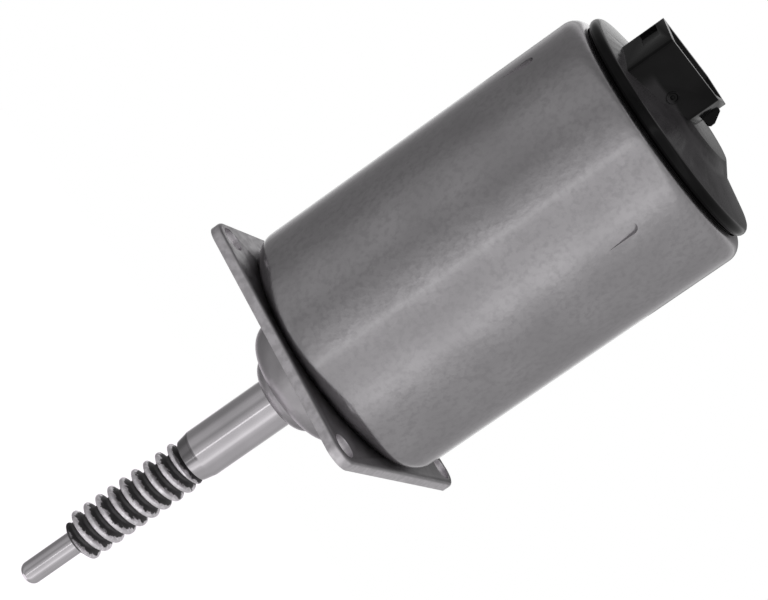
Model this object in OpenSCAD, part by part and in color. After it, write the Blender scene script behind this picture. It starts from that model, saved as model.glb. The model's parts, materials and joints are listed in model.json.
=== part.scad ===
/* [Motor can] */
// Outer diameter of the drawn steel can
can_d = 64; // [60:0.5:70]
// Wall thickness of the can
can_wall = 2.2; // [1.8:0.1:2.6]
// Distance from the end plate to the start of the curled lip
lip_above_plate = 4.9; // [4.5:0.1:5.4]
// Outer radius of the curled rear lip
lip_r = 4; // [3.4:0.2:4.6]
// Outer radius of the front corner
can_corner_r = 5; // [3.5:0.5:6]
// Outer diameter of the bearing nose
nose_d = 32.6; // [32:0.2:34]
// Length of the nose in front of the mounting face
nose_l = 11.3; // [10.5:0.1:12.5]
// Rounding of the nose shoulder
nose_round_r = 5.9; // [4.5:0.1:6.1]
// Diameter of the small boss on the nose
boss_d = 21.4; // [20.4:0.2:22]
// Length of the small boss
boss_l = 3.3; // [2.9:0.1:3.8]
// Clearance of the nose hole round the shaft
nose_hole_clear = 0.5; // [0.3:0.1:0.8]

/* [Staked tongues] */
// Number of tongues pressed into the can
tongue_n = 4; // [3:1:6]
// Length of a tongue
tongue_l = 7.6; // [5:0.2:9]
// Width of a tongue
tongue_w = 3; // [2:0.2:4]
// Depth of the sheared side of a tongue
tongue_deep = 0.7; // [0.3:0.1:1]
// Distance from the front end of a tongue to the curled lip
tongue_below_lip = 16; // [12:0.2:19]

/* [Mounting flange] */
// Thickness of the flange plate
plate_t = 2.6; // [2:0.2:3.2]
// Overhang of the flange edge that follows the can
plate_over = 1.5; // [1:0.5:4]
// Radius of the rounded ear ends
ear_r = 4.8; // [4.4:0.2:6]
// Distance of the left ear hole from the axis
ear_left_r = 38; // [37:0.5:42]
// Distance of the middle ear hole from the axis
ear_mid_r = 40; // [38:0.5:44]
// Distance of the right ear hole from the axis
ear_right_r = 41.2; // [38:0.2:44]
// Angle of the left ear
ear_left_angle = 178; // [170:1:185]
// Angle of the right ear
ear_right_angle = 7; // [0:1:12]
// Diameter of the screw holes
ear_hole_d = 6; // [5:0.2:6.6]

/* [Worm shaft] */
// Diameter of the ground shaft
shaft_d = 12.2; // [11.6:0.2:12.6]
// Distance from the mounting face to the end of the ground shaft
shaft_out = 40; // [34:0.5:46]
// Length of the chamfer at the end of the ground shaft
shaft_chamfer_l = 3.2; // [1:0.2:4]
// Depth of the chamfer at the end of the ground shaft
shaft_chamfer = 0.6; // [0.2:0.1:1]
// Outer diameter of the worm
worm_d = 12.1; // [11.5:0.1:12.2]
// Root diameter of the worm
worm_root_d = 8.2; // [7.6:0.1:9]
// Axial pitch of the worm
worm_pitch = 3.59; // [3.2:0.1:4]
// Length of the worm
worm_l = 34.4; // [28:0.2:38]
// Diameter of the pilot pin
tip_d = 5.8; // [5:0.1:6.4]
// Length of the pilot pin
tip_l = 16; // [12:0.5:20]
// Rounding at the end of the pilot pin
tip_round = 2; // [1:0.1:2.4]
// Diameter of the shaft inside the armature
core_shaft_d = 11; // [10:0.2:11.6]
// Diameter of the rear journal
journal_d = 8; // [7:0.5:9]

/* [Bearings] */
// Outer diameter of the front bearing
front_bearing_d = 28; // [27:0.2:28.4]
// Width of the front bearing
front_bearing_w = 8; // [7:0.5:8.5]
// Ball diameter of the front bearing
front_ball_d = 4.76; // [4:0.1:5]
// Number of balls in the front bearing
front_ball_n = 8; // [6:1:9]
// Outer diameter of the rear bearing
rear_bearing_d = 22; // [21:0.2:23]
// Width of the rear bearing
rear_bearing_w = 6; // [5:0.5:6.5]
// Ball diameter of the rear bearing
rear_ball_d = 3.97; // [3.4:0.1:4.2]
// Number of balls in the rear bearing
rear_ball_n = 7; // [6:1:8]
// Clearance between a ball and what holds it
ball_clear = 0.08; // [0.05:0.01:0.12]

/* [Magnets] */
// Number of magnets
magnet_n = 4; // [2:2:6]
// Thickness of a magnet
magnet_t = 5.7; // [4.5:0.1:6.5]
// Overhang of the magnets beyond each end of the lamination stack
magnet_over = 4; // [2:0.5:6]
// Gap between neighbouring magnets
magnet_gap = 6.4; // [5:0.2:9]

/* [Armature] */
// Air gap between the armature and the magnets
air_gap = 0.6; // [0.4:0.1:1]
// Length of the lamination stack
core_l = 38; // [32:1:42]
// Height of the front end of the lamination stack
core_z = 22; // [18:1:24]
// Number of armature slots
slot_n = 12; // [8:1:14]
// Width of a slot opening
slot_open = 2; // [1.4:0.2:3]
// Thickness of the insulating end discs
insulator_t = 0.8; // [0.5:0.1:1.5]
// Overhang of the windings at the front
overhang_front = 9; // [6:0.5:10]
// Overhang of the windings at the rear
overhang_rear = 7; // [5:0.5:7]

/* [Commutator] */
// Diameter of the commutator
comm_d = 24; // [22:0.5:26]
// Length of the commutator
comm_l = 14.5; // [12:0.5:15]
// Thickness of the copper bars
bar_t = 3.2; // [2.5:0.1:3.6]
// Gap between neighbouring copper bars
bar_gap = 0.5; // [0.3:0.1:0.8]
// Diameter over the hooks that hold the wires
hook_d = 28; // [26:0.5:29]

/* [Brush gear] */
// Thickness of the brush plate
brush_plate_t = 2.4; // [2:0.1:3]
// Width of a carbon brush across the shaft
brush_w = 7; // [5:0.2:8]
// Height of a carbon brush along the shaft
brush_h = 6; // [4:0.2:6.4]
// Length of a carbon brush
brush_l = 9; // [7:0.5:10]
// Wall of the brass brush guides
guide_wall = 0.7; // [0.5:0.1:1]
// Clearance between a brush and its guide
brush_clear = 0.1; // [0.05:0.05:0.2]
// Wire diameter of the brush springs
spring_wire = 0.6; // [0.4:0.1:0.8]
// Number of turns of a brush spring
spring_turns = 4; // [3:1:5]

/* [End plate] */
// Thickness of the steel end plate
end_plate_t = 1.6; // [1.2:0.1:2]
// Distance from the end of the commutator to the end plate
end_plate_gap = 1.5; // [1.2:0.1:2]
// Wall of the drawn bearing cup
cup_wall = 1; // [0.8:0.1:1.3]

/* [Rear cover] */
// Height of the rim of the rear cover above the curled lip
rim_h = 3.4; // [3:0.1:4]
// Wall of the rear cover
cover_wall = 2.1; // [1.7:0.1:2.4]
// Overhang of the rim of the rear cover over the curled lip
rim_over = 0.9; // [0.4:0.1:1.4]
// Rounding of the rim of the rear cover
rim_round = 1.6; // [1.2:0.1:1.7]
// Height that the cone rises from the edge to the dome
cone_rise = 2; // [1.6:0.1:2.4]
// Diameter of the foot of the centre dome
dome_foot_d = 35; // [34:0.5:38]
// Diameter of the flat top of the centre dome
dome_top_d = 27; // [24:0.5:28]
// Height of the centre dome
dome_h = 2.5; // [1.6:0.1:2.8]

/* [Socket] */
// Height of the socket mouth above the rim of the rear cover
socket_h = 12; // [11.6:0.2:15]
// Length of the socket outside
socket_l = 22.9; // [21:0.1:25]
// Width of the socket outside
socket_w = 13.5; // [12.6:0.1:14.4]
// Distance of the blunt end of the socket from the axis
socket_x = 22; // [20.6:0.1:22.4]
// Distance of the near side of the socket from the axis
socket_y = 13; // [12:0.1:13.4]
// Wall of the socket
socket_wall = 1.5; // [1.2:0.1:1.8]
// Depth of the socket
socket_deep = 9.4; // [8.4:0.2:9.6]
// Rounding of the upright corners of the socket
socket_round = 0.8; // [0.4:0.1:1.2]
// Width of a terminal blade
blade_w = 2.8; // [1.6:0.1:3]
// Thickness of a terminal blade
blade_t = 0.8; // [0.6:0.1:1]
// Distance between the terminal blades
blade_pitch = 6; // [5:0.2:7]
// Depth of the blade tips below the socket mouth
blade_sunk = 2.4; // [1:0.2:4]

/* [Hidden] */
$fn = 96;
// Small overlap that joins solids of one piece
eps = 0.01;
// Clearance between pieces that are pressed or laid together
fit = 0.05;

can_r = can_d / 2;
can_in_r = can_r - can_wall;
nose_r = nose_d / 2;
// The nose has a shallow groove where it passes the flange
nose_groove = 0.2;
nose_groove_z = -0.4;
nose_neck_r = nose_r - nose_groove;
shaft_r = shaft_d / 2;
seat_r = front_bearing_d / 2;
front_wall_z = plate_t + can_wall;
retainer_t = 1.2;
plate_r = can_r + plate_over;
// Step in the can on which the brush plate rests
step_depth = 0.5;
magnet_out_r = can_in_r - step_depth - fit;
magnet_in_r = magnet_out_r - magnet_t;
core_r = magnet_in_r - air_gap;
lip_in_r = can_r - lip_r;

// Stack along the axis, from the lamination stack to the socket mouth
magnet_z = core_z - magnet_over;
magnet_l = core_l + 2 * magnet_over;
core_end_z = core_z + core_l;
comm_z = core_end_z + insulator_t + overhang_rear + 0.7;
brush_plate_z = comm_z + 0.5;
end_plate_z = comm_z + comm_l + end_plate_gap;
can_curl_z = end_plate_z + lip_above_plate;
lip_end_z = can_curl_z + lip_r;
tongue_z = can_curl_z - tongue_below_lip;
cover_edge_z = lip_end_z + rim_h;
socket_z = cover_edge_z + socket_h;

// Front bearing
boss_wall = 2.8;
boss_floor_z = boss_wall - nose_l - boss_l;
seal_r = boss_d / 2 - 2.3;
seal_room = 5.3;
front_seat_z = boss_floor_z + seal_room;
front_ring_in = shaft_r + 2.1;
front_ring_out = seat_r - 2.1;
front_pitch_r = (front_ring_in + front_ring_out) / 2;
front_mid_z = front_seat_z + front_bearing_w / 2;

// Rear bearing
cup_in_r = rear_bearing_d / 2;
rear_seat_z = end_plate_z + 1;
rear_ring_in = journal_d / 2 + 1.9;
rear_ring_out = cup_in_r - 1.9;
rear_pitch_r = (rear_ring_in + rear_ring_out) / 2;
rear_mid_z = rear_seat_z + rear_bearing_w / 2;
washer_t = 0.5;
cup_end_z = rear_seat_z + rear_bearing_w + washer_t + 0.1;

// Worm
worm_z1 = -shaft_out;
worm_z0 = worm_z1 - worm_l;
tip_z = worm_z0 - tip_l;
// Angle at which a thread crest starts at the ground shaft
worm_start_angle = 7;
worm_sides = 30;
// Profile samples in one pitch, from crest to crest
worm_profile = [1, 0.93, 0.52, 0.07, 0, 0.07, 0.52, 0.93];
runout_l = 1.3;
// Length of the worm's core inside the ground shaft
worm_lap = 1;
// Width of the snap ring groove
groove_w = 1.2;

// Armature
slot_depth = 9.5;
slot_foot = 0.6;
tooth_w = 4;
tooth_tip = 1.6;
core_hub_r = core_r - slot_depth - tooth_tip;
winding_r = core_r - tooth_tip - 0.6;

// Commutator and brushes
comm_r = comm_d / 2;
bar_in_r = comm_r - bar_t;
brush_n = 4;
brush_z = brush_plate_z + brush_plate_t + guide_wall + brush_clear;
brush_in_r = comm_r + 0.1;
guide_in_r = comm_r + 2.5;
guide_out_r = can_in_r - 3;
guide_top_z = brush_z + brush_h + brush_clear + guide_wall;
busbar_t = 0.8;
busbar_z = guide_top_z + 1.1;
choke_angles = [45, 135];
choke_r = can_in_r - 9.3;
choke_d = 3.2;
choke_cup_d = choke_d + 5.4;
choke_cup_l = 5;
choke_cup_floor = 3;
choke_z = brush_plate_z + choke_cup_floor + 2 * fit;
spring_r = brush_h / 2 - spring_wire;

// Rear cover
rim_r = lip_in_r + rim_over;
cover_flange_r = can_in_r - 0.1;
cover_z = end_plate_z + end_plate_t;
neck_r = lip_in_r - 0.3;
cone_top_z = cover_edge_z + cone_rise;
dome_z = cone_top_z + dome_h;
socket_floor_z = socket_z - socket_deep;
socket_floor_t = 1.6;
// Setback of the two slanted faces at the pointed end of the socket
socket_shoulder = 5.2;
socket_tip_x = socket_l - socket_x;
socket_tip_y = (socket_w / 2 - socket_y) + 0.45;
// Catch for the plug at the pointed end and recess at the blunt end
catch_w = 3;
catch_out = 1.6;
recess_w = 5.9;
recess_l = 4.2;
recess_deep = 0.8;
blade_mid_x = -socket_x + socket_wall + 6.3;
blade_mid_y = -socket_y + socket_w / 2;
blade_bend_z = cup_end_z + cup_wall + 0.5;
blade_offset = 10;
blade_foot_y = blade_mid_y - blade_offset;

// Foot of a terminal blade
function blade_foot(i) = [blade_mid_x + (i - 0.5) * blade_pitch, blade_foot_y];

// Points of an arc in the plane of a profile
function arc(cx, cy, r, a0, a1, n = 8) =
    [for (i = [0:n]) let (t = a0 + (a1 - a0) * i / n) [cx + r * cos(t), cy + r * sin(t)]];

// Point at a radius and an angle
function polar(r, a) = [r * cos(a), r * sin(a)];

// Outer tangent of two circles, with the outside on its right
function tangent(c1, r1, c2, r2) =
    let (d = c2 - c1, n = polar(1, atan2(d[1], d[0]) - acos((r1 - r2) / norm(d))))
    [c1 + r1 * n, c2 + r2 * n];

// Outline with every corner rounded, for an outline that runs anticlockwise
function rounded(p, r, n = 4) =
    [for (i = [0:len(p) - 1])
        let (b = p[i], back = p[(i + len(p) - 1) % len(p)] - b, on = p[(i + 1) % len(p)] - b,
             u = back / norm(back), v = on / norm(on),
             half = acos(u * v) / 2, mid = (u + v) / norm(u + v),
             centre = b + mid * r / sin(half), a = atan2(-mid[1], -mid[0]), sweep = 90 - half)
        each arc(centre[0], centre[1], r, a - sweep, a + sweep, n)];

// Flat ring
module ring(r_in, r_out, z, h) {
    translate([0, 0, z])
        difference() {
            cylinder(r = r_out, h = h);
            translate([0, 0, -1]) cylinder(r = r_in, h = h + 2);
        }
}

// Annular sector with flat ends
module sector(r_in, r_out, angle, z, h) {
    translate([0, 0, z])
        rotate([0, 0, -angle / 2])
            rotate_extrude(angle = angle)
                translate([r_in, 0]) square([r_out - r_in, h]);
}

// Flange plate with three ears
module mounting_flange() {
    ears = [polar(ear_mid_r, -90), polar(ear_right_r, ear_right_angle), polar(ear_left_r, ear_left_angle)];
    centres = [ears[0], ears[1], [0, 0], ears[2]];
    // The straight edges lie a hair inside the round ends, so that they cross cleanly
    radii = [ear_r, ear_r, plate_r, ear_r] - 0.03 * [1, 1, 1, 1];
    outline = [for (i = [0:3])
        let (j = (i + 1) % 4)
        each tangent(centres[i], radii[i], centres[j], radii[j])];
    color("silver")
        difference() {
            linear_extrude(plate_t)
                union() {
                    polygon(outline);
                    for (e = ears)
                        translate(e) circle(r = ear_r);
                    intersection() {
                        circle(r = plate_r);
                        polygon([[0, 0], 2 * ears[1], [0, 3 * plate_r], 2 * ears[2]]);
                    }
                }
            translate([0, 0, -1]) cylinder(r = nose_r + fit, h = plate_t + 2);
            for (e = ears)
                translate([e[0], e[1], -1]) cylinder(d = ear_hole_d, h = plate_t + 2);
        }
}

// Section of the drawn can, from the nose hole round to the curled lip
function can_section() =
    let (nose_mid = [nose_r - nose_round_r, nose_round_r - nose_l],
         boss_round = 4.7,
         boss_mid = [boss_d / 2 - boss_round, boss_round - nose_l - boss_l],
         hole_r = shaft_r + nose_hole_clear,
         corner = [can_r - can_corner_r, plate_t + can_corner_r],
         lip_mid = [can_r - lip_r, can_curl_z],
         step_r = can_in_r - step_depth,
         in_corner = 2.6)
    concat(
        [[hole_r, -nose_l - boss_l]],
        arc(boss_mid[0], boss_mid[1], boss_round, -86, -18, 7),
        arc(nose_mid[0], nose_mid[1], nose_round_r, -84, 0, 9),
        [[nose_r, nose_groove_z], [nose_neck_r, nose_groove_z], [nose_neck_r, plate_t]],
        arc(corner[0], corner[1], can_corner_r, -90, 0, 9),
        arc(lip_mid[0], lip_mid[1], lip_r, 0, 90, 8),
        arc(lip_mid[0], lip_mid[1], lip_r - can_wall, 90, 0, 5),
        [[can_in_r, brush_plate_z], [step_r, brush_plate_z]],
        arc(step_r - in_corner, front_wall_z + in_corner, in_corner, 0, -90, 5),
        [[seat_r + fit, front_wall_z],
         [seat_r + fit, front_seat_z],
         [seal_r + 1, front_seat_z],
         [seal_r, front_seat_z - 1],
         [seal_r, boss_floor_z],
         [hole_r, boss_floor_z]]);

// Tongue outline with one round end
module tongue_outline() {
    union() {
        translate([-tongue_w / 2, 0]) square([tongue_w, tongue_l - tongue_w / 2]);
        translate([0, tongue_l - tongue_w / 2]) circle(d = tongue_w, $fn = 32);
    }
}

// Drawn can with its bearing nose, curled lip and staked tongues
module motor_can() {
    color("darkgray")
        difference() {
            rotate_extrude() polygon(can_section());
            for (i = [0:tongue_n - 1])
                rotate([0, 0, 360 * i / tongue_n])
                    translate([can_r, 0, tongue_z])
                        rotate([90, 0, 90])
                            rotate([0, atan(tongue_deep / tongue_w), 0])
                                translate([0, 0, -tongue_deep / 2])
                                    linear_extrude(3) tongue_outline();
        }
}

// Rubber lip seal in the nose
module shaft_seal() {
    out_r = seal_r - fit;
    web_r = seal_r - 1.2;
    seal_l = seal_room - 0.7;
    color("dimgray")
        translate([0, 0, boss_floor_z + fit])
            rotate_extrude()
                polygon([[out_r, 0], [out_r, seal_l - 0.4], [out_r - 0.4, seal_l], [web_r + 0.2, seal_l],
                    [web_r, seal_l - 1.2], [shaft_r + 0.3, 1.2], [shaft_r + 0.12, 0.9], [shaft_r + 0.5, 0.4],
                    [web_r, 0]]);
}

// Hat plate that holds the front bearing in the nose
module bearing_retainer() {
    in_r = front_ring_out + 0.3;
    z0 = front_seat_z + front_bearing_w + fit;
    rim = 7;
    color("gainsboro")
        difference() {
            union() {
                ring(in_r, seat_r - fit, z0, front_wall_z + fit + retainer_t - z0);
                ring(in_r, seat_r + rim, front_wall_z + fit, retainer_t);
            }
            for (i = [0:5])
                rotate([0, 0, 60 * i])
                    translate([seat_r + rim * 0.6, 0, front_wall_z - 1])
                        cylinder(d = 2.4, h = retainer_t + 2, $fn = 32);
        }
}

// Outer ring of a ball bearing
module bearing_outer(r_in, r_out, w, pitch_r, ball_d) {
    difference() {
        rotate_extrude()
            polygon([[r_in, 0], [r_out - 0.5, 0], [r_out, 0.5],
                [r_out, w - 0.5], [r_out - 0.5, w], [r_in, w]]);
        translate([0, 0, w / 2])
            rotate_extrude()
                translate([pitch_r, 0]) circle(d = ball_d + 2 * ball_clear, $fn = 48);
    }
}

// Inner ring of a ball bearing
module bearing_inner(r_in, r_out, w, pitch_r, ball_d) {
    difference() {
        rotate_extrude()
            polygon([[r_in + 0.4, 0], [r_out, 0], [r_out, w], [r_in + 0.4, w], [r_in, w - 0.4], [r_in, 0.4]]);
        translate([0, 0, w / 2])
            rotate_extrude()
                translate([pitch_r, 0]) circle(d = ball_d + 2 * ball_clear, $fn = 48);
    }
}

// Balls of a bearing
module bearing_balls(n, pitch_r, ball_d) {
    for (i = [0:n - 1])
        rotate([0, 0, 360 * i / n])
            translate([pitch_r, 0, 0]) sphere(d = ball_d, $fn = 32);
}

// Crown cage with an open pocket for each ball
module bearing_cage(n, r_in, r_out, w, pitch_r, ball_d) {
    difference() {
        ring(r_in + 0.45, r_out - 0.45, -ball_d * 0.22, w / 2 - 0.4 + ball_d * 0.22);
        for (i = [0:n - 1])
            rotate([0, 0, 360 * i / n])
                translate([pitch_r, 0, 0]) sphere(d = ball_d + 2 * ball_clear, $fn = 32);
    }
}

module front_bearing_outer() {
    color("lightgray")
        translate([0, 0, front_seat_z])
            bearing_outer(front_ring_out, seat_r, front_bearing_w, front_pitch_r, front_ball_d);
}

module front_bearing_inner() {
    color("lightgray")
        translate([0, 0, front_seat_z])
            bearing_inner(shaft_r, front_ring_in, front_bearing_w, front_pitch_r, front_ball_d);
}

module front_bearing_balls() {
    color("white")
        translate([0, 0, front_mid_z])
            bearing_balls(front_ball_n, front_pitch_r, front_ball_d);
}

module front_bearing_cage() {
    color("tan")
        translate([0, 0, front_mid_z])
            bearing_cage(front_ball_n, front_ring_in, front_ring_out, front_bearing_w,
                front_pitch_r, front_ball_d);
}

module rear_bearing_outer() {
    color("lightgray")
        translate([0, 0, rear_seat_z])
            bearing_outer(rear_ring_out, cup_in_r - fit, rear_bearing_w, rear_pitch_r, rear_ball_d);
}

module rear_bearing_inner() {
    color("lightgray")
        translate([0, 0, rear_seat_z])
            bearing_inner(journal_d / 2, rear_ring_in, rear_bearing_w, rear_pitch_r, rear_ball_d);
}

module rear_bearing_balls() {
    color("white")
        translate([0, 0, rear_mid_z])
            bearing_balls(rear_ball_n, rear_pitch_r, rear_ball_d);
}

module rear_bearing_cage() {
    color("tan")
        translate([0, 0, rear_mid_z])
            bearing_cage(rear_ball_n, rear_ring_in, rear_ring_out, rear_bearing_w, rear_pitch_r, rear_ball_d);
}

// Preload washer behind the rear bearing
module wave_washer() {
    color("silver")
        ring(rear_ring_out + 0.2, cup_in_r - 0.2, rear_seat_z + rear_bearing_w + fit, washer_t);
}

// Steel end plate with a drawn cup for the rear bearing
module end_plate() {
    cup_r = cup_in_r + cup_wall;
    vent_d = 5;
    vent_r = (cup_r + can_in_r) / 2;
    color("silver")
        difference() {
            union() {
                ring(cup_in_r, can_in_r - fit, end_plate_z, end_plate_t);
                ring(cup_in_r, cup_r, end_plate_z, cup_end_z - end_plate_z + cup_wall);
                ring(cup_in_r - 2, cup_r, cup_end_z, cup_wall);
            }
            for (i = [0, 1])
                translate([blade_foot(i)[0], blade_foot_y, end_plate_z])
                    cube([blade_w + 2, blade_t + 2, 2 * end_plate_t + 2], center = true);
            for (a = [20, 200, 290])
                rotate([0, 0, a])
                    translate([vent_r, 0, end_plate_z - 1])
                        cylinder(d = vent_d, h = end_plate_t + 2, $fn = 48);
        }
}

// One arc magnet
module magnet(i) {
    angle = 360 / magnet_n - magnet_gap / magnet_in_r * 180 / PI;
    color("dimgray")
        rotate([0, 0, 360 / magnet_n * i])
            sector(magnet_in_r, magnet_out_r, angle, magnet_z, magnet_l);
}

module magnet_1() { magnet(0); }
module magnet_2() { magnet(1); }
module magnet_3() { magnet(2); }
module magnet_4() { magnet(3); }

// Spring clips that spread the magnets apart
module magnet_clips() {
    half = magnet_gap / 2 - 0.15;
    clip_t = 0.6;
    color("lightsteelblue")
        for (i = [0:magnet_n - 1])
            rotate([0, 0, 360 / magnet_n * (i + 0.5)])
                translate([magnet_out_r - 0.3, 0, magnet_z])
                    linear_extrude(magnet_l)
                        union() {
                            translate([-clip_t, -half]) square([clip_t, 2 * half]);
                            for (s = [-1, 1])
                                translate([-magnet_t + 1, s * (half - clip_t / 2) - clip_t / 2])
                                    square([magnet_t - 1, clip_t]);
                        }
}

// Height of a worm profile sample above the root, with the thread run out at both ends
function worm_rise(k, z) =
    let (ends = min(1, (worm_z1 - z) / runout_l, (z - worm_z0) / runout_l))
    worm_profile[k % len(worm_profile)] * max(0, ends);

// Worm with one right-hand thread. Columns of points go clockwise round the shaft, and each
// row falls by one pitch in a turn, so the seam joins every row to the one a pitch further on
module worm() {
    n = worm_sides;
    turn = len(worm_profile);
    step = worm_pitch / turn;
    root_r = worm_root_d / 2;
    rise = (worm_d - worm_root_d) / 2;
    top_z = worm_z1 + worm_lap;
    rows = ceil(worm_l / step) + turn + 1;
    thin = 0.05;
    points = [for (i = [0:n - 1])
        let (a = worm_start_angle - 360 * i / n)
        each [for (j = [-1:rows])
            let (on_helix = worm_z1 - step * (j - turn + 0.5 + turn * i / n),
                 z = max(min(on_helix, top_z - thin * (j + 1)), worm_z0 + thin * (rows - j)),
                 r = root_r + rise * worm_rise(j + turn, z))
            [r * cos(a), r * sin(a), z]]];
    m = rows + 2;
    sides = [for (i = [0:n - 2], j = [0:m - 2])
        each [[i * m + j, i * m + j + 1, (i + 1) * m + j],
              [(i + 1) * m + j, i * m + j + 1, (i + 1) * m + j + 1]]];
    last = (n - 1) * m;
    seam_top = [for (j = [0:turn]) [j, last, j + 1]];
    seam = [for (j = [1:m - 2 - turn])
        each [[last + j, last + j + 1, j + turn],
              [j + turn, last + j + 1, j + turn + 1]]];
    seam_end = [for (j = [m - 1 - turn:m - 2]) [last + j, last + j + 1, m - 1]];
    caps = [[for (i = [0:n - 1]) i * m], [for (i = [n - 1:-1:0]) i * m + m - 1]];
    polyhedron(points, concat(sides, seam_top, [[last, last + 1, turn + 1]], seam, seam_end, caps));
}

// Armature shaft, ground and threaded in one piece
module worm_shaft() {
    journal_r = journal_d / 2;
    core_shaft_r = core_shaft_d / 2;
    groove_z = front_seat_z + front_bearing_w + fit;
    groove_end_z = groove_z + groove_w;
    groove_r = shaft_r - 0.5;
    step_z = core_z - overhang_front - 5;
    rear_step_z = rear_seat_z - 1.5;
    end_z = rear_seat_z + rear_bearing_w + 1.1;
    color("silver")
        union() {
            worm();
            rotate_extrude()
                polygon(concat(
                    [[0, tip_z]],
                    arc(tip_d / 2 - tip_round, tip_z + tip_round, tip_round, -90, 0, 6),
                    [[tip_d / 2, worm_z0 + 1], [0, worm_z0 + 1]]));
            rotate_extrude()
                polygon([[0, worm_z1], [shaft_r - shaft_chamfer, worm_z1],
                    [shaft_r, worm_z1 + shaft_chamfer_l],
                    [shaft_r, groove_z], [groove_r, groove_z],
                    [groove_r, groove_end_z], [shaft_r, groove_end_z],
                    [shaft_r, step_z], [core_shaft_r, step_z + 1],
                    [core_shaft_r, rear_step_z], [journal_r, rear_step_z],
                    [journal_r, end_z - 0.5], [journal_r - 0.5, end_z], [0, end_z]]);
        }
}

// Snap ring behind the front bearing
module shaft_circlip() {
    color("dimgray")
        rotate([0, 0, 20])
            translate([0, 0, front_seat_z + front_bearing_w + 2 * fit])
                rotate_extrude(angle = 320)
                    translate([shaft_r - 0.45, 0]) square([2.2, groove_w - 2 * fit]);
}

// Cross-section of one armature slot
module slot_shape(inset) {
    r0 = core_hub_r + inset;
    r1 = core_r - tooth_tip - inset;
    pitch = 360 / slot_n;
    half = [for (r = [r0, r1]) r * sin(pitch / 2) - tooth_w / 2 - inset];
    foot = max(slot_foot, half[0]);
    polygon([[r0, -foot], [r1, -half[1]], [r1, half[1]], [r0, foot]]);
}

// Slot with its narrow opening to the air gap
module open_slot() {
    slot_shape(0);
    translate([core_r - tooth_tip - 0.5, -slot_open / 2]) square([tooth_tip + 1.5, slot_open]);
}

// Slotted lamination stack
module armature_core() {
    color("slategray")
        difference() {
            translate([0, 0, core_z]) cylinder(r = core_r, h = core_l);
            translate([0, 0, core_z - 1]) cylinder(d = core_shaft_d, h = core_l + 2);
            translate([0, 0, core_z - 1])
                linear_extrude(core_l + 2)
                    for (i = [0:slot_n - 1])
                        rotate(360 / slot_n * (i + 0.5)) open_slot();
        }
}

// Insulating end disc in the shape of the laminations
module insulator(z) {
    color("seagreen")
        translate([0, 0, z])
            linear_extrude(insulator_t)
                difference() {
                    circle(r = core_r - 0.8);
                    circle(d = core_shaft_d);
                    for (i = [0:slot_n - 1])
                        rotate(360 / slot_n * (i + 0.5)) open_slot();
                }
}

module front_insulator() { insulator(core_z - insulator_t); }
module rear_insulator() { insulator(core_end_z); }

// Section of the wound head at one end of the core
module head_section(length) {
    inner = core_shaft_d / 2 + 1.4;
    round_r = 2.2;
    polygon(concat(
        [[inner, 0], [winding_r, 0]],
        arc(winding_r - round_r, length - round_r, round_r, 0, 90, 5),
        arc(inner + round_r, length - round_r, round_r, 90, 180, 5)));
}

// Copper windings with their heads and the leads to the commutator
module armature_winding() {
    head_front = core_z - insulator_t - fit;
    head_rear = core_end_z + insulator_t + fit;
    lead_l = comm_z + 1 - head_rear;
    color("peru")
        union() {
            translate([0, 0, head_front - eps])
                linear_extrude(head_rear - head_front + 2 * eps)
                    for (i = [0:slot_n - 1])
                        rotate(360 / slot_n * (i + 0.5)) slot_shape(0.35);
            difference() {
                union() {
                    translate([0, 0, head_front])
                        mirror([0, 0, 1]) rotate_extrude() head_section(overhang_front);
                    translate([0, 0, head_rear]) rotate_extrude() head_section(overhang_rear);
                }
                for (i = [0:slot_n - 1])
                    rotate([0, 0, 360 / slot_n * i])
                        for (z = [head_front - overhang_front, head_rear + overhang_rear])
                            translate([core_shaft_d / 2, 0, z])
                                rotate([0, 90, 0]) cylinder(r = 1.1, h = core_r, $fn = 24);
            }
            for (i = [0:slot_n - 1])
                rotate([0, 0, 360 / slot_n * (i + 0.5)])
                    translate([hook_d / 2 - 1.2, 0, head_rear + 1])
                        cylinder(d = 1.1, h = lead_l - 0.8, $fn = 24);
        }
}

// Moulded hub of the commutator
module commutator_hub() {
    color("saddlebrown")
        union() {
            ring(core_shaft_d / 2, bar_in_r - fit, comm_z, comm_l + 1);
            ring(core_shaft_d / 2, bar_in_r + 1, comm_z + comm_l + fit, 0.8);
        }
}

// Copper bars of the commutator, each with its hook
module commutator_bars() {
    pitch = 360 / slot_n;
    bar_angle = pitch - bar_gap / comm_r * 180 / PI;
    color("chocolate")
        for (i = [0:slot_n - 1])
            rotate([0, 0, pitch * (i + 0.5)])
                difference() {
                    union() {
                        sector(bar_in_r, comm_r, bar_angle, comm_z + 0.3, comm_l - 0.3);
                        translate([comm_r - 1, -1.1, comm_z + 0.3]) cube([hook_d / 2 - comm_r + 1, 2.2, 1.4]);
                    }
                    translate([hook_d / 2 - 1.2, 0, comm_z - 1]) cylinder(d = 1.2, h = 4, $fn = 24);
                }
}

// Moulded plate and wall that carry the brush gear
module brush_plate() {
    r_out = can_in_r - fit;
    top_z = end_plate_z - fit;
    base_z = brush_plate_z + fit;
    color("darkslategray")
        difference() {
            union() {
                ring(hook_d / 2 + 1.5, r_out, base_z, brush_plate_t - fit);
                ring(r_out - 1.9, r_out, base_z, top_z - base_z);
                for (a = choke_angles)
                    rotate([0, 0, a])
                        translate([choke_r, 0, base_z])
                            difference() {
                                cylinder(d = choke_cup_d, h = choke_cup_l, $fn = 48);
                                translate([0, 0, choke_cup_floor])
                                    cylinder(d = choke_cup_d - 1.6, h = choke_cup_l, $fn = 48);
                            }
            }
            for (i = [0:2])
                rotate([0, 0, 75 + 120 * i])
                    translate([choke_r, 0, brush_plate_z - 1])
                        cylinder(d = 3, h = 2 + brush_plate_t, $fn = 32);
        }
}

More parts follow.
